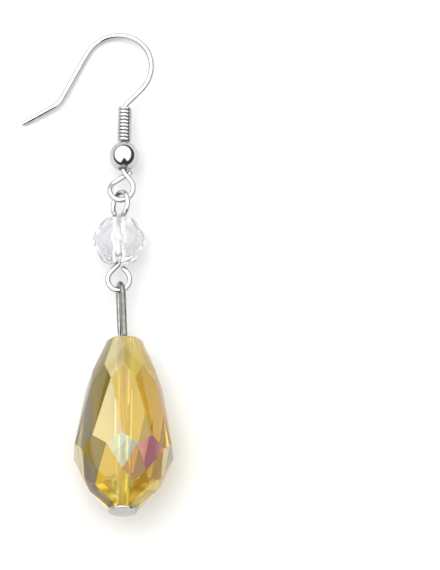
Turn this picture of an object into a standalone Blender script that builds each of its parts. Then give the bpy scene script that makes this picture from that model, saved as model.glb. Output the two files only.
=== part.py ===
"""A drop earring that lies on a flat surface, seen from above with its hook at the top.

Metres, +Z up, the surface at Z = 0, +Y towards the hook's arc, +X to the right.
A bent ear wire carries a coil and a ball and ends in an eye. A wire with a loop at each end
goes through a clear faceted bead, and a head pin with a long loop holds a faceted teardrop.

Each group of pieces has its own frame: local +Z points down the earring, from hook to teardrop,
local +Y points up from the surface and local +X to the right.
"""

import math

import bmesh
import bpy
from mathutils import Matrix, Vector

# Wire of the hook, the link and the head pin
WIRE = 0.66e-3
NECK_SETBACK = 0.30e-3
LOOP_GAP = 0.10e-3
LOOP_SPOT = math.radians(3)
END_GAP = 0.10e-3
ARC_STEP = math.radians(12)
CORNER_STEPS = 5
WIRE_SIDES = 8
SHARP_ANGLE = math.radians(40)

# Ear hook
EYE_RADIUS = 1.43e-3
EYE_RISE = 0.62e-3
EYE_OFFSET = 0.22e-3
EYE_TAIL_OUT = 0.90e-3
EYE_TAIL_UP = 0.28e-3
EYE_DROPS_FROM = math.radians(-150)
SHANK_TOP = 0.20e-3
KNEE_SETBACK = 0.45e-3
ARC_RADIUS = 4.2e-3
ARC_SHIFT = 1.07e-3
ARC_RISE = 4.79e-3
LEG_LEAN = math.radians(27.5)
LEG_LENGTH = 6.9e-3
ANKLE_SETBACK = 0.70e-3
TAIL_DROP = math.radians(28.5)
TAIL_LENGTH = 5.0e-3
TIP_ROUNDING = 0.15e-3
TIP_SHARE = 0.5

# Ball and coil on the hook's shank
BALL_DIAMETER = 3.5e-3
BALL_STANDOFF = 0.22e-3
BALL_BORE_GAP = 0.10e-3
BALL_RINGS = 10
BALL_SEGMENTS = 16
COIL_WIRE = 0.40e-3
COIL_TURNS = 9.5
COIL_PITCH = 0.43e-3
COIL_BORE_GAP = 0.15e-3
COIL_STEPS = 14
COIL_SIDES = 6
SEAT_GAP = 0.06e-3

# Link through the clear bead
LOOP_RADIUS = 1.29e-3
LOOP_RISE = 0.56e-3
LINK_STANDOFF = 0.10e-3
UPPER_LOOP_RADIUS = 1.48e-3
UPPER_LOOP_RISE = 0.08e-3
UPPER_LOOP_TURN = math.radians(54)
UPPER_LOOP_LEAN = math.radians(6)
LINK_PITCH = math.radians(3)
LINK_SIDES = 6

# Clear bead
CLEAR_DIAMETER = 6.45e-3
CLEAR_LENGTH = 5.25e-3
CLEAR_COLUMNS = 8
CLEAR_BORE = 1.1e-3

# Teardrop
DROP_LENGTH = 20.6e-3
DROP_DIAMETER = 11.7e-3
DROP_NARROW_RIM = 4.2e-3
DROP_COLUMNS = 10
DROP_BORE = 1.1e-3
BORE_SIDES = 16

# Head pin
HEAD_DIAMETER = 3.3e-3
HEAD_THICKNESS = 0.30e-3
HEAD_ROUNDING = 0.08e-3
HEAD_GAP = 0.06e-3
HEAD_SIDES = 24
PIN_NECK_OUT = 0.20e-3
PIN_LOOP_LENGTH = 6.65e-3
PIN_LOOP_RADIUS = 1.25e-3
PIN_LOOP_ROLL = math.radians(13)
PIN_END_TURN = math.radians(50)
PIN_AIM = 0.20e-3

# How far the teardrop lies to the right of the link's own line, and rounds taken to settle the hook
DROP_SHIFT = 0.73e-3
SETTLING_ROUNDS = 8

# Girdles where facets meet, as shares of a bead's length. Facets of neighbouring rows are half a column apart.
FLAT_ANGLE = math.radians(0.5)
DROP_STATIONS = (0, 0.191, 0.296, 0.646, 0.706, 0.840, 0.895, 0.978, 1)
DROP_WIDEST_RING = 3
DROP_RESTS_ON = (1, 3)
CLEAR_STATIONS = (0, 0.36, 0.82, 1)


def clear_scene():
    for ob in list(bpy.data.objects):
        bpy.data.objects.remove(ob)


def material(name, colour, roughness, metallic=0.0, transmission=0.0):
    mat = bpy.data.materials.new(name)
    mat.use_nodes = True
    shader = mat.node_tree.nodes["Principled BSDF"]
    shader.inputs["Base Color"].default_value = (*colour, 1)
    shader.inputs["Roughness"].default_value = roughness
    shader.inputs["Metallic"].default_value = metallic
    shader.inputs["Transmission Weight"].default_value = transmission
    mat.diffuse_color = (*colour, 1)
    return mat


def bright_metal():
    return material("bright_metal", (0.78, 0.78, 0.77), 0.12, metallic=1.0)


def grey_metal():
    return material("grey_metal", (0.48, 0.48, 0.46), 0.22, metallic=1.0)


def clear_glass():
    return material("clear_glass", (0.94, 0.95, 0.97), 0.02, transmission=1.0)


def golden_glass():
    return material("golden_glass", (0.72, 0.55, 0.18), 0.03, transmission=1.0)


def empty(name, parent=None):
    ob = bpy.data.objects.new(name, None)
    bpy.context.scene.collection.objects.link(ob)
    ob.parent = parent
    return ob


def place(ob, frame, mat):
    bpy.context.scene.collection.objects.link(ob)
    ob.parent = frame
    ob.data.materials.append(mat)
    return ob


# Paths of wire, as points in a plane whose first axis is X and whose second axis is up the earring


def angle_of(v):
    return math.atan2(v.y, v.x)


def tangent_point(start, centre, radius, side):
    """Where a line from start touches a circle: side is 1 left of the line to the centre and -1 right of it."""
    to_start = start - centre
    turn = math.acos(radius / to_start.length)
    return centre + radius * (Matrix.Rotation(-side * turn, 2) @ to_start.normalized())


def arc_angles(start, end):
    """Even steps from one angle to another, whichever way the second lies."""
    count = max(2, math.ceil(abs(end - start) / ARC_STEP))
    return [start + (end - start) * i / count for i in range(count + 1)]


def arc_points(centre, radius, start, end):
    return [centre + radius * Vector((math.cos(a), math.sin(a))) for a in arc_angles(start, end)]


def eased_corner(before, corner, after, setback):
    """A smooth curve that takes the place of a corner between two straight runs."""
    enter = corner + setback * (before - corner).normalized()
    leave = corner + setback * (after - corner).normalized()
    shares = [i / CORNER_STEPS for i in range(CORNER_STEPS + 1)]
    return [(1 - t) ** 2 * enter + 2 * t * (1 - t) * corner + t * t * leave for t in shares]


def in_plane(points, depth=0.0):
    """Plane points as points in a group's frame, whose +Z runs down the earring."""
    return [Vector((p.x, depth, -p.y)) for p in points]


def turned_loop(rise, radius, side):
    """A wire that comes up to the neck at the origin, goes round a circle above it and stops beside the neck.

    rise is the distance from the neck to the circle. side is 1 to set off to the left and -1 to the right.
    A circle close to the neck is followed to the wire's end. From a higher one the wire runs straight down."""
    start = Vector((0, 0))
    neck = rise + radius
    centre = Vector((0, neck))
    first = tangent_point(start, centre, radius, side)
    clear = (WIRE / 2 + 2 * END_GAP) * (first - start).normalized()
    end = Vector((side * clear.y, -side * clear.x))
    if (end - centre).length > radius:
        finish = angle_of(tangent_point(end, centre, radius, -side) - centre)
        straight = [end]
    else:
        apart = WIRE + 2 * END_GAP
        spread = math.acos((radius * radius + neck * neck - apart * apart) / (2 * radius * neck))
        finish = side * spread - math.pi / 2
        straight = []
    begin = angle_of(first - centre)
    turn = (side * (begin - finish)) % math.tau
    corner = eased_corner(Vector((0, -neck)), start, first, NECK_SETBACK)
    return [*corner, *arc_points(centre, radius, begin, begin - side * turn), *straight]


def crossing_distance(radius_a, radius_b, angle):
    """How far one interlocked loop's end lies beyond the other's, with LOOP_GAP between their wires all along.

    angle is between the directions of the two wires where they bear on each other."""
    least = WIRE + LOOP_GAP
    angle = min(angle, math.pi - angle)
    spots = [i * LOOP_SPOT for i in range(round(math.pi / 2 / LOOP_SPOT))]
    distance = least
    for a in spots:
        across_a = Vector((radius_a * math.sin(a), 0))
        for b in spots:
            across_b = radius_b * math.sin(b) * Vector((math.cos(angle), math.sin(angle)))
            beside = (across_a - across_b).length
            if beside < least:
                drop = radius_a * (1 - math.cos(a)) + radius_b * (1 - math.cos(b))
                distance = max(distance, drop + math.sqrt(least * least - beside * beside))
    return distance


def wire_curve(name, points, diameter, sides, tip=1.0):
    """A tube of round section along points, its last point narrowed to a share of its radius."""
    curve = bpy.data.curves.new(name, "CURVE")
    curve.dimensions = "3D"
    curve.bevel_depth = diameter / 2
    curve.bevel_resolution = sides // 2 - 2
    curve.use_fill_caps = True
    spline = curve.splines.new("POLY")
    spline.points.add(len(points) - 1)
    for spot, p in zip(spline.points, points):
        spot.co = (*p, 1)
        spot.radius = 1
    spline.points[-1].radius = tip
    return bpy.data.objects.new(name, curve)


# Faceted beads


def kite_radii(stations, first, second, columns):
    """Radii of the girdles of a bead with flat kite facets, from those of the first two girdles.

    A kite has its ends on girdles i and i + 2 and its sides on girdle i + 1, half a column away, and it
    is flat if the middle of its two sides is on the line between its ends."""
    chord = math.cos(math.pi / columns)
    radii = [first, second]
    for i in range(2, len(stations)):
        reach = (stations[i] - stations[i - 2]) / (stations[i - 1] - stations[i - 2])
        radii.append(radii[i - 2] + (chord * radii[i - 1] - radii[i - 2]) * reach)
    return radii


def drop_radii():
    """The teardrop's girdle radii, scaled from its narrow rim and its widest girdle."""
    rim = DROP_NARROW_RIM / 2 * math.cos(math.pi / DROP_COLUMNS)
    of_rim = kite_radii(DROP_STATIONS, 1, 0, DROP_COLUMNS)
    of_next = kite_radii(DROP_STATIONS, 0, 1, DROP_COLUMNS)
    widest = DROP_DIAMETER / 2
    second = (widest - of_rim[DROP_WIDEST_RING] * rim) / of_next[DROP_WIDEST_RING]
    return kite_radii(DROP_STATIONS, rim, second, DROP_COLUMNS)


def half_clear_radii():
    """The clear bead's girdle radii, from its middle to one end."""
    widest = CLEAR_DIAMETER / 2
    return kite_radii(CLEAR_STATIONS, widest, widest * math.cos(math.pi / CLEAR_COLUMNS), CLEAR_COLUMNS)


def faceted(name, girdles, columns, mat, frame):
    """A convex bead cut with flat facets. girdles are (place along local Z, radius).

    Each flat end cuts across its row of facets, so its corners lie above the next girdle's."""
    bm = bmesh.new()
    for i, (along, radius) in enumerate(girdles):
        at_end = i in (0, len(girdles) - 1)
        half_turn = (i + 1 - at_end) % 2 / 2
        corner = radius / math.cos(math.pi / columns) if at_end else radius
        for k in range(columns):
            angle = (k + half_turn) * math.tau / columns
            bm.verts.new((corner * math.sin(angle), corner * math.cos(angle), along))
    bmesh.ops.convex_hull(bm, input=bm.verts)
    bmesh.ops.dissolve_limit(bm, angle_limit=FLAT_ANGLE, verts=bm.verts, edges=bm.edges)
    bmesh.ops.recalc_face_normals(bm, faces=bm.faces)
    mesh = bpy.data.meshes.new(name)
    bm.to_mesh(mesh)
    bm.free()
    return place(bpy.data.objects.new(name, mesh), frame, mat)


def drill(ob, diameter, low, high, frame):
    """Cuts a straight hole along local Z through the bead, from below low to above high."""
    margin = diameter
    bm = bmesh.new()
    bmesh.ops.create_cone(
        bm,
        cap_ends=True,
        segments=BORE_SIDES,
        radius1=diameter / 2,
        radius2=diameter / 2,
        depth=high - low + 2 * margin,
        matrix=Matrix.Translation((0, 0, (low + high) / 2)),
    )
    mesh = bpy.data.meshes.new(ob.name + "_drill")
    bm.to_mesh(mesh)
    bm.free()
    cutter = bpy.data.objects.new(mesh.name, mesh)
    bpy.context.scene.collection.objects.link(cutter)
    cutter.parent = frame
    cutter.hide_render = True
    cutter.display_type = "WIRE"
    cut = ob.modifiers.new("bore", "BOOLEAN")
    cut.operation = "DIFFERENCE"
    cut.object = cutter
    cut.solver = "EXACT"


def teardrop_bead(frame):
    girdles = [(s * DROP_LENGTH, r) for s, r in zip(DROP_STATIONS, drop_radii())]
    ob = faceted("teardrop_bead", girdles, DROP_COLUMNS, golden_glass(), frame)
    drill(ob, DROP_BORE, 0, DROP_LENGTH, frame)


def clear_bead(frame):
    half = [(s * CLEAR_LENGTH / 2, r) for s, r in zip(CLEAR_STATIONS, half_clear_radii())]
    girdles = [(-along, r) for along, r in reversed(half[1:])] + half
    ob = faceted("clear_bead", girdles, CLEAR_COLUMNS, clear_glass(), frame)
    drill(ob, CLEAR_BORE, -CLEAR_LENGTH / 2, CLEAR_LENGTH / 2, frame)


# Ball and coil


def ball_centre():
    """Height of the ball's centre above the eye's centre."""
    return EYE_RADIUS + EYE_RISE + BALL_STANDOFF + BALL_DIAMETER / 2


def ball_bead(frame):
    """A metal ball turned from its half outline round the shank."""
    radius = BALL_DIAMETER / 2
    bore = WIRE / 2 + BALL_BORE_GAP
    edge = math.asin(bore / radius)
    bm = bmesh.new()
    spots = []
    for i in range(BALL_RINGS + 1):
        angle = edge + (math.pi - 2 * edge) * i / BALL_RINGS
        spots.append(bm.verts.new((radius * math.sin(angle), 0, radius * math.cos(angle))))
    edges = [bm.edges.new(pair) for pair in zip(spots, spots[1:] + spots[:1])]
    bmesh.ops.spin(
        bm,
        geom=spots + edges,
        axis=(0, 0, 1),
        cent=(0, 0, 0),
        angle=math.tau,
        steps=BALL_SEGMENTS,
        use_merge=True,
    )
    bmesh.ops.recalc_face_normals(bm, faces=bm.faces)
    mesh = bpy.data.meshes.new("ball_bead")
    bm.to_mesh(mesh)
    bm.free()
    mesh.shade_smooth()
    mesh.set_sharp_from_angle(angle=SHARP_ANGLE)
    ob = place(bpy.data.objects.new("ball_bead", mesh), frame, bright_metal())
    ob.location = (EYE_OFFSET, 0, -ball_centre())


def coil_radius():
    return WIRE / 2 + COIL_BORE_GAP + COIL_WIRE / 2


def coil_start():
    """Height of the coil's lowest wire centre above the eye's centre, where the coil sits on the ball."""
    clear = BALL_DIAMETER / 2 + SEAT_GAP + COIL_WIRE / 2
    return ball_centre() + math.sqrt(clear * clear - coil_radius() * coil_radius())


def wire_coil(frame):
    """Fine wire wound round the shank, its turns almost touching."""
    radius = coil_radius()
    count = round(COIL_TURNS * COIL_STEPS)
    points = []
    for i in range(count + 1):
        angle = math.tau * i / COIL_STEPS
        height = coil_start() + COIL_PITCH * i / COIL_STEPS
        points.append(Vector((EYE_OFFSET + radius * math.cos(angle), radius * math.sin(angle), -height)))
    place(wire_curve("wire_coil", points, COIL_WIRE, COIL_SIDES), frame, bright_metal())


# Ear hook


def hook_knee():
    """The corner above the coil where the shank turns into the arc, from the eye's centre."""
    coil_top = coil_start() + COIL_TURNS * COIL_PITCH + COIL_WIRE / 2
    return Vector((EYE_OFFSET, coil_top + SHANK_TOP))


def hook_arc_centre():
    return hook_knee() + Vector((-ARC_SHIFT, ARC_RISE))


def hook_tail():
    """Where the leg leaves the arc, the corner below it and the free tip."""
    leaves = math.pi - LEG_LEAN
    top = hook_arc_centre() + ARC_RADIUS * Vector((math.cos(leaves), math.sin(leaves)))
    ankle = top - LEG_LENGTH * Vector((math.sin(LEG_LEAN), math.cos(LEG_LEAN)))
    tip = ankle - TAIL_LENGTH * Vector((math.cos(TAIL_DROP), math.sin(TAIL_DROP)))
    return top, ankle, tip


def eye_path(neck):
    """The eye, turned to the right from the neck, whose last part drops behind and ends beyond the neck."""
    centre = Vector((0, 0))
    end = neck + Vector((EYE_TAIL_OUT, EYE_TAIL_UP))
    begin = angle_of(tangent_point(neck, centre, EYE_RADIUS, 1))
    finish = angle_of(tangent_point(end, centre, EYE_RADIUS, -1)) - math.tau
    behind = WIRE + END_GAP
    points = []
    for angle in arc_angles(begin, finish):
        share = max(0, (EYE_DROPS_FROM - angle) / (EYE_DROPS_FROM - finish))
        spot = EYE_RADIUS * Vector((math.cos(angle), math.sin(angle)))
        points += in_plane([spot], -behind * share * share * (3 - 2 * share))
    return points + in_plane([end], -behind)


def hook_path():
    """Centreline of the ear wire: its free tip, the leg, the arc, the shank and the eye."""
    top, ankle, tip = hook_tail()
    centre = hook_arc_centre()
    knee = hook_knee()
    neck = Vector((EYE_OFFSET, EYE_RADIUS + EYE_RISE))
    joins = tangent_point(knee, centre, ARC_RADIUS, -1)
    first = tangent_point(neck, Vector((0, 0)), EYE_RADIUS, 1)
    shoulder = tip + TIP_ROUNDING * (ankle - tip).normalized()
    flat = [tip, shoulder, *eased_corner(tip, ankle, top, ANKLE_SETBACK)]
    flat += arc_points(centre, ARC_RADIUS, math.pi - LEG_LEAN, angle_of(joins - centre))
    flat += eased_corner(joins, knee, neck, KNEE_SETBACK)
    flat += eased_corner(knee, neck, first, NECK_SETBACK)
    return in_plane(flat) + eye_path(neck)


def ear_hook(frame):
    place(wire_curve("ear_hook", hook_path()[::-1], WIRE, WIRE_SIDES, tip=TIP_SHARE), frame, bright_metal())


# Link


def link_neck():
    """Distance from the clear bead's centre to each loop's neck."""
    return CLEAR_LENGTH / 2 + LINK_STANDOFF


def link_low_end():
    """Middle of the wire at the lower loop's far end, from the clear bead's centre."""
    return Vector((0, 0, link_neck() + LOOP_RISE + 2 * LOOP_RADIUS))


def upper_loop_turn():
    """Rotation of the upper loop out of the lower one's plane, about its neck."""
    return Matrix.Rotation(-UPPER_LOOP_LEAN, 3, "Y") @ Matrix.Rotation(UPPER_LOOP_TURN, 3, "Z")


def link_high_end():
    """Middle of the wire at the upper loop's highest point, from the bead's centre, and its direction there."""
    turn = upper_loop_turn()
    normal = turn @ Vector((0, 1, 0))
    up = Vector((0, 0, -1))
    towards = (up - up.dot(normal) * normal).normalized()
    centre = link_neck() * up + (UPPER_LOOP_RISE + UPPER_LOOP_RADIUS) * (turn @ up)
    return centre + UPPER_LOOP_RADIUS * towards, normal.cross(towards)


def link_wire(frame):
    """The wire through the clear bead, its upper loop turned out of the lower one's plane."""
    lift = Vector((0, 0, link_neck()))
    upper = in_plane(turned_loop(UPPER_LOOP_RISE, UPPER_LOOP_RADIUS, -1))
    upper = [upper_loop_turn() @ p - lift for p in upper]
    lower = in_plane(turned_loop(LOOP_RISE, LOOP_RADIUS, -1))
    lower = [Matrix.Rotation(math.pi, 3, "Y") @ p + lift for p in lower]
    place(wire_curve("link_wire", upper[::-1] + lower, WIRE, LINK_SIDES), frame, bright_metal())


def link_height():
    """Height of the clear bead's centre, with the bead on the surface."""
    half = [(s * CLEAR_LENGTH / 2, r) for s, r in zip(CLEAR_STATIONS, half_clear_radii())]
    return max(r * math.cos(LINK_PITCH) + along * math.sin(LINK_PITCH) for along, r in half)


# Head pin


def pin_loop(neck, direction):
    """The long loop of the pin: out over its upper strand, round, and back to stop under the neck."""
    up = (Vector((0, 0, 1)) - direction.z * direction).normalized()
    across = direction.cross(up)
    rolled = math.cos(PIN_LOOP_ROLL) * up + math.sin(PIN_LOOP_ROLL) * across
    centre = Vector((PIN_LOOP_LENGTH - PIN_LOOP_RADIUS, 0))
    first = tangent_point(Vector((0, 0)), centre, PIN_LOOP_RADIUS, 1)
    flat = arc_points(centre, PIN_LOOP_RADIUS, angle_of(first - centre), -angle_of(first - centre))
    clear = WIRE + END_GAP
    end = neck - clear * (math.cos(PIN_END_TURN) * up + math.sin(PIN_END_TURN) * across)
    return [neck + p.x * direction + p.y * rolled for p in flat] + [end]


def head_pin(frame, neck, direction):
    """The pin's flat head, fused to its wire, which runs through the teardrop to the long loop."""
    to_frame = frame.matrix_world.inverted()
    loop = [to_frame @ p for p in pin_loop(neck, direction)]
    head_near = DROP_LENGTH + HEAD_GAP
    foot = Vector((0, 0, head_near + HEAD_THICKNESS / 2))
    corner = Vector((0, 0, -PIN_NECK_OUT))
    path = [foot, *eased_corner(foot, corner, loop[0], NECK_SETBACK), *loop]
    tube = wire_curve("pin_wire", path, WIRE, WIRE_SIDES)
    mesh = bpy.data.meshes.new_from_object(tube)
    bpy.data.objects.remove(tube)
    pin = place(bpy.data.objects.new("head_pin", mesh), frame, grey_metal())
    mesh.shade_smooth()
    mesh.set_sharp_from_angle(angle=SHARP_ANGLE)

    bm = bmesh.new()
    bmesh.ops.create_cone(
        bm,
        cap_ends=True,
        segments=HEAD_SIDES,
        radius1=HEAD_DIAMETER / 2,
        radius2=HEAD_DIAMETER / 2,
        depth=HEAD_THICKNESS,
        matrix=Matrix.Translation(foot),
    )
    rims = [e for e in bm.edges if abs(e.verts[0].co.z - e.verts[1].co.z) < HEAD_THICKNESS / 2]
    bmesh.ops.bevel(bm, geom=rims, offset=HEAD_ROUNDING, segments=2, profile=0.5, affect="EDGES", material=-1)
    head = bpy.data.objects.new("pin_head", bpy.data.meshes.new("pin_head"))
    bm.to_mesh(head.data)
    bm.free()
    place(head, frame, grey_metal())
    head.hide_render = True
    head.display_type = "WIRE"
    join = pin.modifiers.new("head", "BOOLEAN")
    join.operation = "UNION"
    join.object = head
    join.solver = "EXACT"


# Where each group lies


def frame_at(name, root, place_at, turn):
    """An empty for one group of pieces, at a place and with a rotation matrix."""
    frame = empty(name, root)
    frame.location = place_at
    frame.rotation_euler = turn.to_euler()
    bpy.context.view_layer.update()
    return frame


def link_frame(root):
    turn = Matrix.Rotation(math.pi / 2 + LINK_PITCH, 3, "X")
    return frame_at("link_frame", root, Vector((0, 0, link_height())), turn)


def drop_slope():
    """Slope of the facet that the teardrop rests on, and the height of its narrow rim's centre."""
    near, far = DROP_RESTS_ON
    radii = drop_radii()
    rise = (radii[far] - radii[near]) / ((DROP_STATIONS[far] - DROP_STATIONS[near]) * DROP_LENGTH)
    slope = math.atan(rise)
    at_rim = radii[near] - rise * DROP_STATIONS[near] * DROP_LENGTH
    return slope, at_rim * math.cos(slope)


def drop_group(root, bearing):
    """The teardrop, lying on one facet, with the pin whose loop goes round the link's wire at bearing."""
    slope, rim_height = drop_slope()
    axis = Vector((0, -math.cos(slope), math.sin(slope)))
    distance = crossing_distance(PIN_LOOP_RADIUS, LOOP_RADIUS, math.pi / 2 - PIN_LOOP_ROLL)
    span = PIN_LOOP_LENGTH - distance
    neck_height = rim_height - PIN_NECK_OUT * axis.z
    aside = bearing.x + PIN_AIM - DROP_SHIFT
    rise = bearing.z - neck_height
    along = math.sqrt(span * span - aside * aside - rise * rise)
    direction = Vector((aside, along, rise)) / span
    neck = Vector((DROP_SHIFT, bearing.y - along, neck_height))
    turn = Matrix.Rotation(math.pi / 2 - slope, 3, "X")
    frame = frame_at("drop_frame", root, neck + PIN_NECK_OUT * axis, turn)
    teardrop_bead(frame)
    head_pin(frame, neck, direction)


def hook_group(root, bearing, loop_tangent):
    """The hook, resting on its tip and its arc, with its eye round the link's wire at bearing."""
    tip = hook_tail()[2]
    touch = tangent_point(tip, hook_arc_centre(), ARC_RADIUS, 1)
    lean = angle_of(touch - tip)
    eye_from_line = tip.y * math.cos(lean) - tip.x * math.sin(lean)
    flat = Matrix.Rotation(math.pi / 2, 3, "X")
    distance = WIRE
    for _ in range(SETTLING_ROUNDS):
        hang = EYE_RADIUS - distance
        tilt = math.asin((bearing.z - WIRE / 2) / (eye_from_line + hang * math.cos(lean)))
        turn = Matrix.Rotation(-tilt, 3, Vector((math.cos(lean), math.sin(lean), 0))) @ flat
        crossing = (turn @ Vector((1, 0, 0))).angle(loop_tangent)
        distance = crossing_distance(EYE_RADIUS, UPPER_LOOP_RADIUS, crossing)
    centre = bearing - (EYE_RADIUS - distance) * (turn @ Vector((0, 0, 1)))
    frame = frame_at("hook_frame", root, centre, turn)
    ear_hook(frame)
    wire_coil(frame)
    ball_bead(frame)


def centre_on_surface(root):
    """Moves the earring so that the middle of its box is over the origin and its lowest point at Z = 0."""
    bpy.context.view_layer.update()
    graph = bpy.context.evaluated_depsgraph_get()
    corners = []
    for ob in bpy.data.objects:
        if ob.type in ("MESH", "CURVE") and not ob.hide_render:
            shown = ob.evaluated_get(graph)
            corners += [shown.matrix_world @ v.co for v in shown.to_mesh().vertices]
            shown.to_mesh_clear()
    low = Vector([min(p[i] for p in corners) for i in range(3)])
    high = Vector([max(p[i] for p in corners) for i in range(3)])
    root.location = Vector((-(low.x + high.x) / 2, -(low.y + high.y) / 2, -low.z))


def build():
    clear_scene()
    root = empty("earring")
    link = link_frame(root)
    clear_bead(link)
    link_wire(link)
    below = link.matrix_world @ link_low_end()
    high_end, along_wire = link_high_end()
    drop_group(root, below)
    hook_group(root, link.matrix_world @ high_end, link.matrix_world.to_3x3() @ along_wire)
    centre_on_surface(root)


build()
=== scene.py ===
"""Looks of a drop earring that lies on a pale surface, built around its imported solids.

Metres, +Z up, +Y towards the hook's arc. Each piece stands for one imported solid, or for a part of one.
"""

import math

import bmesh
import bpy
from mathutils import Matrix, Vector


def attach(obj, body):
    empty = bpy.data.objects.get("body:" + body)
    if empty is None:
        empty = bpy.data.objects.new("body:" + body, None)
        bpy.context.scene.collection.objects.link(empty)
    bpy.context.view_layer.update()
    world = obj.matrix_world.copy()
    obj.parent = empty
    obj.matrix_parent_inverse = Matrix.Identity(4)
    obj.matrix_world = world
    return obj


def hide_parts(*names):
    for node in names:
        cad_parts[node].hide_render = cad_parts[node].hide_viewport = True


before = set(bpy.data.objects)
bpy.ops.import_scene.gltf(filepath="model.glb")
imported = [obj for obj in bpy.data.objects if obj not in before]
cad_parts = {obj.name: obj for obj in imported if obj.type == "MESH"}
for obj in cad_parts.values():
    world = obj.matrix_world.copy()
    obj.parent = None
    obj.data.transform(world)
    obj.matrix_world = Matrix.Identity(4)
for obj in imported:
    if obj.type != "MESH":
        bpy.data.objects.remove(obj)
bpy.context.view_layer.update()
BODY = "root"

# Camera

PIXELS_HIGH = 570
METRES_PER_PIXEL = 0.118e-3
CAMERA_RISE = math.radians(80)
CAMERA_DISTANCE = 0.4
CAMERA_AIM = (0.01448, -0.0012, 0.0)
CAMERA_REACH = (0.01, 10)
SENSOR = 36.0

# Softened metal: how far each skin moves out before it is rounded, to make up for what that takes off

ROUNDING_LEVELS = 2
SKIN_OUT = {
    "ear_hook": 0.036e-3,
    "link_wire": 0.066e-3,
    "wire_coil": 0.040e-3,
    "ball_bead": 0.045e-3,
    "head_pin": 0.036e-3,
}
FLAT_PAIR_ANGLE = math.radians(12)
SQUARE_PAIR_ANGLE = math.radians(60)
SAME_POINT = 1e-6

# Head of the pin

DISC_DIAMETER = 3.3e-3
DISC_THICKNESS = 0.30e-3
DISC_ROUNDING = 0.09e-3
DISC_ROUNDING_STEPS = 3
DISC_SIDES = 64
DISC_SHARP_ANGLE = math.radians(35)
DISC_START = 20.66e-3
WIRE_CUT_SETBACK = 0.005e-3
WIRE_INTO_DISC = 0.15e-3

# Cut beads. A bead's frame has +Z along its bore, towards the pin's head, and +Y on its upper side.

DROP_FRAME = Matrix(
    (
        (1, 0, 0, 0.003354),
        (0, 0.215135, -0.976584, -0.008416),
        (0, 0.976584, 0.215135, 0.00285),
        (0, 0, 0, 1),
    )
)
LINK_FRAME = Matrix(
    (
        (1, 0, 0, 0.002624),
        (0, -0.052336, -0.99863, 0.003502),
        (0, 0.99863, -0.052336, 0.003221),
        (0, 0, 0, 1),
    )
)
DROP_LENGTH = 20.6e-3
DROP_COLUMNS = 10
FACET_EDGE = 0.025e-3
RIM_EASE = 0.11e-3
CLEAR_BLUNTING = 0.42e-3
SAME_PLANE = math.radians(1.5)
PLANE_SLACK = 0.02e-3
BORE_REACH = 0.60e-3

# Coating of the teardrop, with painted highlights, painted reflections and painted shade on its facets

# Cream and straw also serve as painted highlights, olive and smoke as painted dark reflections.
HONEY = (0.88, 0.66, 0.12, 1)
AMBER = (0.84, 0.52, 0.08, 1)
STRAW = (1.00, 0.86, 0.26, 1)
CREAM = (1.00, 0.95, 0.58, 1)
OLIVE = (0.24, 0.20, 0.05, 1)
SMOKE = (0.14, 0.14, 0.13, 1)
MINT = (0.70, 0.90, 0.76, 1)
ROSE = (0.72, 0.28, 0.50, 1)
PEARL = (0.88, 0.87, 0.76, 1)
BRONZE = (0.62, 0.32, 0.06, 1)
# painted shade: near black, for the eased rim round the teardrop's narrow end
PAINTED_RIM_SHADE = (0.03, 0.03, 0.03, 1)

# Rows from the narrow end on: each row's middle as a share of the length, and its upper facets' colours by
# column. These are the coating's tints together with painted light: cream and straw facets are painted
# highlights, olive and smoke facets painted dark reflections. Column 0 is on top, positive ones are to the
# right, and every other row is half a column aside.
DROP_ROWS = (
    (0.136, {-0.5: CREAM, 0.5: STRAW, -1.5: OLIVE, 1.5: HONEY}),
    (0.357, {0: HONEY, -1: OLIVE, 1: AMBER, -2: SMOKE, 2: BRONZE}),
    (0.574, {-0.5: CREAM, 0.5: HONEY, -1.5: SMOKE, 1.5: AMBER}),
    (0.724, {0: MINT, 1: ROSE, 2: PEARL, -1: OLIVE, -2: PEARL}),
    (0.820, {-0.5: HONEY, 0.5: BRONZE, -1.5: SMOKE, 1.5: AMBER}),
    (0.902, {0: STRAW, -1: HONEY, 1: AMBER, -2: SMOKE, 2: STRAW}),
    (0.970, {-0.5: STRAW, 0.5: HONEY, -1.5: OLIVE, 1.5: STRAW}),
)
SAME_COLUMN = 0.5
PALE_UNDER_ROWS = 2
UNDER_TINTS = (HONEY, OLIVE, CREAM, BRONZE, STRAW)

# Tints of the clear bead: a trace of lilac on the facets that face well to the left

ICE = (0.99, 0.99, 0.99, 1)
LILAC = (0.93, 0.935, 0.98, 1)
LILAC_FACING = -0.2

# Grain of the finishes, in spots per millimetre

TONE_PATCHES = 0.9
POLISHING_MARKS = 14.0
SMEARS = 5.0
PAPER_FIBRES = 1.6

# Surface

PAPER_TONE = (0.68, 0.68, 0.68, 1)
PAPER_ROUGHNESS = 0.85
PAPER_GLOSS = 0.1
PAPER_HALF_WIDTH = 1.5
PAPER_DROP = 0.01e-3
FIBRE_STRENGTH = 0.3
FIBRE_HEIGHT = 0.02e-3

# Light. The tent's hem is its dark lower end, and the stand is a dark shape on the near side.

TENT_GLOW = 2.15
HEM_GLOW = 0.04
HEM_RISE = math.radians(23)
HEM_TILT = math.radians(10)
HEM_SOFTNESS = math.radians(5)
STAND_TURN = math.radians(6)
STAND_TOP = math.radians(68)
STAND_PEAK_HALF_WIDTH = math.radians(8)
STAND_HALF_WIDTH = math.radians(50)
SOFTBOX_PLACE = Vector((-0.12, 0.14, 0.45))
SOFTBOX_SIZE = 0.30
SOFTBOX_POWER = 0.6


def graph_node(tree, kind, inputs=None, **settings):
    """A shader node with its settings, its values and its links."""
    made = tree.nodes.new(kind)
    for name, value in settings.items():
        setattr(made, name, value)
    for name, value in (inputs or {}).items():
        if isinstance(value, bpy.types.NodeSocket):
            tree.links.new(value, made.inputs[name])
        else:
            made.inputs[name].default_value = value
    return made


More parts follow.
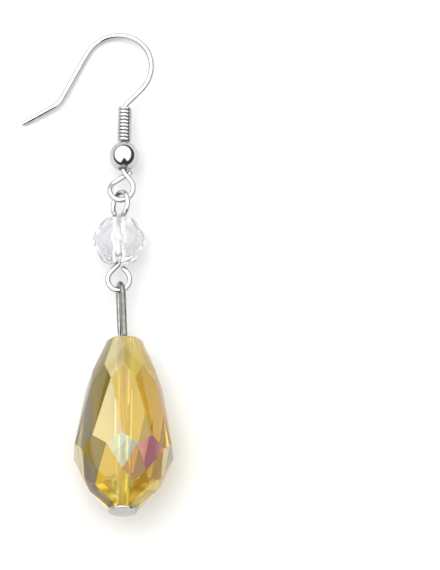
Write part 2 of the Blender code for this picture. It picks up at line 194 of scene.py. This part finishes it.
def maths(tree, operation, *values):
    """A sum on numbers and on other nodes' results."""
    made = graph_node(tree, "ShaderNodeMath", operation=operation)
    for socket, value in zip(made.inputs, values):
        if isinstance(value, bpy.types.NodeSocket):
            tree.links.new(value, socket)
        else:
            socket.default_value = value
    return made.outputs[0]


def in_range(tree, value, low, high, out_low=0.0, out_high=1.0):
    """Smooth step from out_low to out_high while value goes from low to high."""
    made = graph_node(
        tree,
        "ShaderNodeMapRange",
        {
            "Value": value,
            "From Min": low,
            "From Max": high,
            "To Min": out_low,
            "To Max": out_high,
        },
        interpolation_type="SMOOTHSTEP",
    )
    return made.outputs["Result"]


def blank_material(name):
    material = bpy.data.materials.new(name)
    material.use_nodes = True
    tree = material.node_tree
    tree.nodes.clear()
    return material, tree


def millimetres(tree):
    """Object coordinates in millimetres."""
    place = graph_node(tree, "ShaderNodeTexCoord")
    return graph_node(
        tree,
        "ShaderNodeMapping",
        {"Vector": place.outputs["Object"], "Scale": (1000, 1000, 1000)},
    ).outputs["Vector"]


def grain(tree, where, per_mm, detail, rough):
    return graph_node(
        tree,
        "ShaderNodeTexNoise",
        {"Vector": where, "Scale": per_mm, "Detail": detail, "Roughness": rough},
    ).outputs["Fac"]


def colours(sockets):
    """The colour sockets among the sockets of a mixing node, which has one set for each kind."""
    return [s for s in sockets if s.type == "RGBA"]


# Finishes


def wire_finish(name, light, dark, roughness, wave):
    """Drawn and polished wire: patchy tone, fine polishing marks and a slight waviness."""
    material, tree = blank_material(name)
    where = millimetres(tree)
    patches = grain(tree, where, TONE_PATCHES, detail=3.0, rough=0.55)
    marks = grain(tree, where, POLISHING_MARKS, detail=5.0, rough=0.7)
    tone = graph_node(
        tree, "ShaderNodeMix", {"Factor": in_range(tree, patches, 0.35, 0.65)}, data_type="RGBA"
    )
    for socket, colour in zip(colours(tone.inputs), (dark, light)):
        socket.default_value = colour
    bump = graph_node(
        tree, "ShaderNodeBump", {"Height": marks, "Strength": 1.0, "Distance": wave}
    )
    shader = graph_node(
        tree,
        "ShaderNodeBsdfPrincipled",
        {
            "Base Color": colours(tone.outputs)[0],
            "Metallic": 1.0,
            "Roughness": in_range(tree, marks, 0.3, 0.7, roughness * 0.7, roughness * 1.4),
            "Normal": bump.outputs["Normal"],
        },
    )
    out = graph_node(tree, "ShaderNodeOutputMaterial")
    tree.links.new(shader.outputs["BSDF"], out.inputs["Surface"])
    return material


def glass_finish(name, ior, clearness, smear, absorb, density):
    """Cut glass with a colour on each facet, light smears, and a colour that deepens with thickness. On the
    teardrop the facet colours hold painted highlights, painted reflections and painted shade besides the
    coating's tints.
    """
    material, tree = blank_material(name)
    tint = graph_node(
        tree, "ShaderNodeAttribute", attribute_type="GEOMETRY", attribute_name="facet_tint_and_painted_light"
    )
    smears = grain(tree, millimetres(tree), SMEARS, detail=4.0, rough=0.6)
    shader = graph_node(
        tree,
        "ShaderNodeBsdfPrincipled",
        {
            "Base Color": tint.outputs["Color"],
            "Roughness": in_range(tree, smears, 0.35, 0.65, 0.0, smear),
            "IOR": ior,
            "Transmission Weight": clearness,
        },
    )
    inside = graph_node(tree, "ShaderNodeVolumeAbsorption", {"Color": absorb, "Density": density})
    out = graph_node(tree, "ShaderNodeOutputMaterial")
    tree.links.new(shader.outputs["BSDF"], out.inputs["Surface"])
    tree.links.new(inside.outputs["Volume"], out.inputs["Volume"])
    return material


# Shapes


def merged_copy(node):
    """A merged working copy of a solid's loose triangles."""
    bm = bmesh.new()
    bm.from_mesh(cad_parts[node].data)
    bmesh.ops.remove_doubles(bm, verts=bm.verts, dist=SAME_POINT)
    return bm


def finished(bm, name, node, material):
    """The working copy as a piece that stands for its solid."""
    mesh = bpy.data.meshes.new(name)
    bm.to_mesh(mesh)
    bm.free()
    for leftover in ("custom_normal", "sharp_edge", "sharp_face"):
        if leftover in mesh.attributes:
            mesh.attributes.remove(mesh.attributes[leftover])
    mesh.materials.clear()
    mesh.materials.append(material)
    piece = bpy.data.objects.new(name, mesh)
    bpy.context.scene.collection.objects.link(piece)
    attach(piece, BODY)
    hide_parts(node)
    return piece


def smoothed(piece):
    piece.data.polygons.foreach_set("use_smooth", [True] * len(piece.data.polygons))
    return piece


def rounded(piece):
    skin = piece.modifiers.new("rounding", "SUBSURF")
    skin.levels = ROUNDING_LEVELS
    skin.render_levels = ROUNDING_LEVELS
    return piece


def push_out(bm, distance):
    """Moves the skin out along its own normals."""
    bm.normal_update()
    moves = [(v, v.normal * distance) for v in bm.verts]
    for vert, move in moves:
        vert.co += move


def pair_triangles(bm):
    bmesh.ops.join_triangles(
        bm,
        faces=bm.faces,
        angle_face_threshold=FLAT_PAIR_ANGLE,
        angle_shape_threshold=SQUARE_PAIR_ANGLE,
    )


def bevel(bm, geom, offset, segments, affect):
    bmesh.ops.bevel(
        bm,
        geom=geom,
        offset=offset,
        offset_type="OFFSET",
        segments=segments,
        profile=0.5,
        affect=affect,
        material=-1,
    )


def round_metal(node, material):
    """A wire, coil or ball as one smooth rounded piece."""
    bm = merged_copy(node)
    pair_triangles(bm)
    push_out(bm, SKIN_OUT[node])
    return rounded(smoothed(finished(bm, node + "_metal", node, material)))


def pin_wire(material):
    """The head pin's wire, cut off at its disc and run a little into it."""
    bm = merged_copy("head_pin")
    along = DROP_FRAME.to_3x3() @ Vector((0, 0, 1))
    start = DROP_FRAME @ Vector((0, 0, DISC_START))
    pair_triangles(bm)
    bmesh.ops.bisect_plane(
        bm,
        geom=bm.verts[:] + bm.edges[:] + bm.faces[:],
        dist=SAME_POINT,
        plane_co=start - along * WIRE_CUT_SETBACK,
        plane_no=along,
        clear_outer=True,
    )
    rim = [e for e in bm.edges if e.is_boundary]
    cap = bmesh.ops.edgeloop_fill(bm, edges=rim)["faces"]
    push_out(bm, SKIN_OUT["head_pin"])
    pulled = bmesh.ops.extrude_face_region(bm, geom=cap)
    bmesh.ops.delete(bm, geom=cap, context="FACES_ONLY")
    ends = [g for g in pulled["geom"] if isinstance(g, bmesh.types.BMVert)]
    bmesh.ops.translate(bm, verts=ends, vec=along * WIRE_INTO_DISC)
    return rounded(smoothed(finished(bm, "head_pin_wire", "head_pin", material)))


def pin_disc(material):
    """The flat round head of the pin, with an eased rim."""
    bm = bmesh.new()
    bmesh.ops.create_cone(
        bm,
        cap_ends=True,
        segments=DISC_SIDES,
        radius1=DISC_DIAMETER / 2,
        radius2=DISC_DIAMETER / 2,
        depth=DISC_THICKNESS,
    )
    rims = [e for e in bm.edges if abs(e.verts[0].co.z - e.verts[1].co.z) < SAME_POINT]
    bevel(bm, rims, DISC_ROUNDING, DISC_ROUNDING_STEPS, "EDGES")
    place = DROP_FRAME @ Matrix.Translation((0, 0, DISC_START + DISC_THICKNESS / 2))
    bmesh.ops.transform(bm, matrix=place, verts=bm.verts)
    bm.normal_update()
    piece = smoothed(finished(bm, "head_pin_disc", "head_pin", material))
    piece.data.set_sharp_from_angle(angle=DISC_SHARP_ANGLE)
    return piece


def on_middle_plane(local, vert):
    """Whether a corner lies outside the bore, on the plane across the frame's origin."""
    place = local @ vert.co
    return abs(place.z) < PLANE_SLACK and math.hypot(place.x, place.y) > BORE_REACH


def blunt_corners(bm, local):
    """Small flat facets in place of the points round a bead's waist."""
    points = [v for v in bm.verts if on_middle_plane(local, v)]
    bevel(bm, points, CLEAR_BLUNTING, 1, "VERTICES")


def ease_rim(bm, local):
    """A wider eased edge round the narrow end."""
    rim = [e for e in bm.edges if all(on_middle_plane(local, v) for v in e.verts)]
    bevel(bm, rim, RIM_EASE, 1, "EDGES")


def crease_edges(bm, local):
    """The edges between facets, outside the bore."""
    edges = []
    for edge in bm.edges:
        ends = [local @ v.co for v in edge.verts]
        reach = min(math.hypot(p.x, p.y) for p in ends)
        if reach > BORE_REACH and edge.calc_face_angle(0) > SAME_PLANE:
            edges.append(edge)
    return edges


def cut_bead(node, material, bead_frame, dress, facet_colour_of):
    """A faceted bead with crisp eased edges, and a colour on each facet: the bead's tint, and on the
    teardrop painted light as well.
    """
    bm = merged_copy(node)
    bmesh.ops.dissolve_limit(
        bm, angle_limit=SAME_PLANE, verts=bm.verts, edges=bm.edges, use_dissolve_boundaries=False
    )
    local = bead_frame.inverted()
    dress(bm, local)
    bevel(bm, crease_edges(bm, local), FACET_EDGE, 1, "EDGES")
    bm.normal_update()
    layer = bm.loops.layers.float_color.new("facet_tint_and_painted_light")
    for face in bm.faces:
        centre = local @ face.calc_center_median()
        facing = local.to_3x3() @ face.normal
        of_bore = math.hypot(centre.x, centre.y) < BORE_REACH and abs(facing.z) < 0.5
        face.smooth = of_bore
        for loop in face.loops:
            loop[layer] = facet_colour_of(centre, facing, of_bore)
    return finished(bm, node + "_glass", node, material)


def drop_tint_and_painted_light(centre, facing, of_bore):
    """The teardrop's facet colour, by the facet's row and by its column round the bead: the golden
    coating's tints with painted highlights and painted dark reflections, and painted shade on the rim round
    the narrow end.
    """
    if of_bore:
        return HONEY
    faces_end = facing.z < -0.95
    # Painted shade: the eased rim round the narrow end is painted near black.
    if centre.z < RIM_EASE and not faces_end:
        return PAINTED_RIM_SHADE
    share = centre.z / DROP_LENGTH
    row = min(range(len(DROP_ROWS)), key=lambda i: abs(DROP_ROWS[i][0] - share))
    turn = math.degrees(math.atan2(centre.x, centre.y)) / (360 / DROP_COLUMNS)
    shades = DROP_ROWS[row][1]
    column = min(shades, key=lambda c: abs(c - turn))
    if abs(column - turn) <= SAME_COLUMN:
        return shades[column]
    if row < PALE_UNDER_ROWS:
        return CREAM
    return UNDER_TINTS[(row * 2 + round(turn * 2) * 3) % len(UNDER_TINTS)]


def clear_tint(centre, facing, of_bore):
    return ICE if facing.x > LILAC_FACING or of_bore else LILAC


# Surface, light and camera


def paper():
    """The pale surface that the earring lies on."""
    material, tree = blank_material("pale_surface")
    fibres = grain(tree, millimetres(tree), PAPER_FIBRES, detail=4.0, rough=0.6)
    bump = graph_node(
        tree,
        "ShaderNodeBump",
        {"Height": fibres, "Strength": FIBRE_STRENGTH, "Distance": FIBRE_HEIGHT},
    )
    shader = graph_node(
        tree,
        "ShaderNodeBsdfPrincipled",
        {
            "Base Color": PAPER_TONE,
            "Roughness": PAPER_ROUGHNESS,
            "Specular IOR Level": PAPER_GLOSS,
            "Normal": bump.outputs["Normal"],
        },
    )
    out = graph_node(tree, "ShaderNodeOutputMaterial")
    tree.links.new(shader.outputs["BSDF"], out.inputs["Surface"])
    bm = bmesh.new()
    bmesh.ops.create_grid(bm, x_segments=1, y_segments=1, size=PAPER_HALF_WIDTH)
    bmesh.ops.translate(bm, verts=bm.verts, vec=(0, 0, -PAPER_DROP))
    mesh = bpy.data.meshes.new("pale_surface")
    bm.to_mesh(mesh)
    bm.free()
    mesh.materials.append(material)
    floor = bpy.data.objects.new("pale_surface", mesh)
    bpy.context.scene.collection.objects.link(floor)


def tent_light():
    """A white tent overhead, dark near the horizon, lower at the far left than at the near right."""
    world = bpy.data.worlds.new("tent")
    bpy.context.scene.world = world
    world.use_nodes = True
    tree = world.node_tree
    tree.nodes.clear()
    way = graph_node(tree, "ShaderNodeTexCoord").outputs["Generated"]
    parts = graph_node(tree, "ShaderNodeSeparateXYZ", {"Vector": way})
    across, ahead, up = parts.outputs
    rise = maths(tree, "ARCSINE", up)
    near = maths(tree, "MULTIPLY", ahead, -1.0)
    near_right = maths(tree, "ADD", across, near)

    def above(height):
        """Dark below a height, bright above it, with a soft edge."""
        over = maths(tree, "SUBTRACT", rise, height)
        return in_range(tree, over, -HEM_SOFTNESS, HEM_SOFTNESS, HEM_GLOW, 1.0)

    tent = above(maths(tree, "MULTIPLY_ADD", near_right, HEM_TILT, HEM_RISE))
    turn = maths(tree, "ARCTAN2", across, near)
    aside = maths(tree, "ABSOLUTE", maths(tree, "SUBTRACT", turn, STAND_TURN))
    stand = above(in_range(tree, aside, STAND_PEAK_HALF_WIDTH, STAND_HALF_WIDTH, STAND_TOP, 0.0))
    glow = maths(tree, "MINIMUM", tent, stand)
    back = graph_node(
        tree,
        "ShaderNodeBackground",
        {"Color": (1.0, 1.0, 1.0, 1), "Strength": maths(tree, "MULTIPLY", glow, TENT_GLOW)},
    )
    out = graph_node(tree, "ShaderNodeOutputWorld")
    tree.links.new(back.outputs["Background"], out.inputs["Surface"])


def softbox():
    """The main soft lamp, high up and to the left."""
    light = bpy.data.lights.new("softbox", "AREA")
    light.shape = "SQUARE"
    light.size = SOFTBOX_SIZE
    light.energy = SOFTBOX_POWER
    lamp = bpy.data.objects.new("softbox", light)
    lamp.location = SOFTBOX_PLACE
    lamp.rotation_mode = "QUATERNION"
    lamp.rotation_quaternion = SOFTBOX_PLACE.to_track_quat("Z", "Y")
    bpy.context.scene.collection.objects.link(lamp)


def camera():
    """A camera nearly overhead, leaning back towards the teardrop."""
    back = Vector((0, -math.cos(CAMERA_RISE), math.sin(CAMERA_RISE)))
    data = bpy.data.cameras.new("camera")
    data.sensor_width = SENSOR
    data.lens = SENSOR * CAMERA_DISTANCE / (PIXELS_HIGH * METRES_PER_PIXEL)
    data.clip_start, data.clip_end = CAMERA_REACH
    made = bpy.data.objects.new("camera", data)
    made.location = Vector(CAMERA_AIM) + back * CAMERA_DISTANCE
    made.rotation_mode = "QUATERNION"
    made.rotation_quaternion = back.to_track_quat("Z", "Y")
    bpy.context.scene.collection.objects.link(made)
    bpy.context.scene.camera = made
    bpy.context.scene.view_settings.view_transform = "Standard"


camera()

bright = wire_finish(
    "bright_wire",
    light=(0.56, 0.56, 0.55, 1),
    dark=(0.48, 0.48, 0.47, 1),
    roughness=0.07,
    wave=0.5e-6,
)
grey = wire_finish(
    "grey_wire",
    light=(0.27, 0.27, 0.25, 1),
    dark=(0.18, 0.18, 0.17, 1),
    roughness=0.12,
    wave=0.8e-6,
)
flat = wire_finish(
    "flat_head",
    light=(0.46, 0.46, 0.45, 1),
    dark=(0.38, 0.38, 0.37, 1),
    roughness=0.14,
    wave=0.6e-6,
)
clear = glass_finish(
    "clear_glass",
    ior=1.5,
    clearness=0.86,
    smear=0.02,
    absorb=(0.9, 0.92, 1.0, 1),
    density=2.0,
)
golden = glass_finish(
    "golden_glass",
    ior=1.55,
    clearness=0.78,
    smear=0.02,
    absorb=(0.98, 0.88, 0.20, 1),
    density=80.0,
)

for wire_or_bead in ("ear_hook", "wire_coil", "ball_bead", "link_wire"):
    round_metal(wire_or_bead, bright)
pin_wire(grey)
pin_disc(flat)
cut_bead("clear_bead", clear, LINK_FRAME, blunt_corners, clear_tint)
cut_bead("teardrop_bead", golden, DROP_FRAME, ease_rim, drop_tint_and_painted_light)

paper()
tent_light()
softbox()
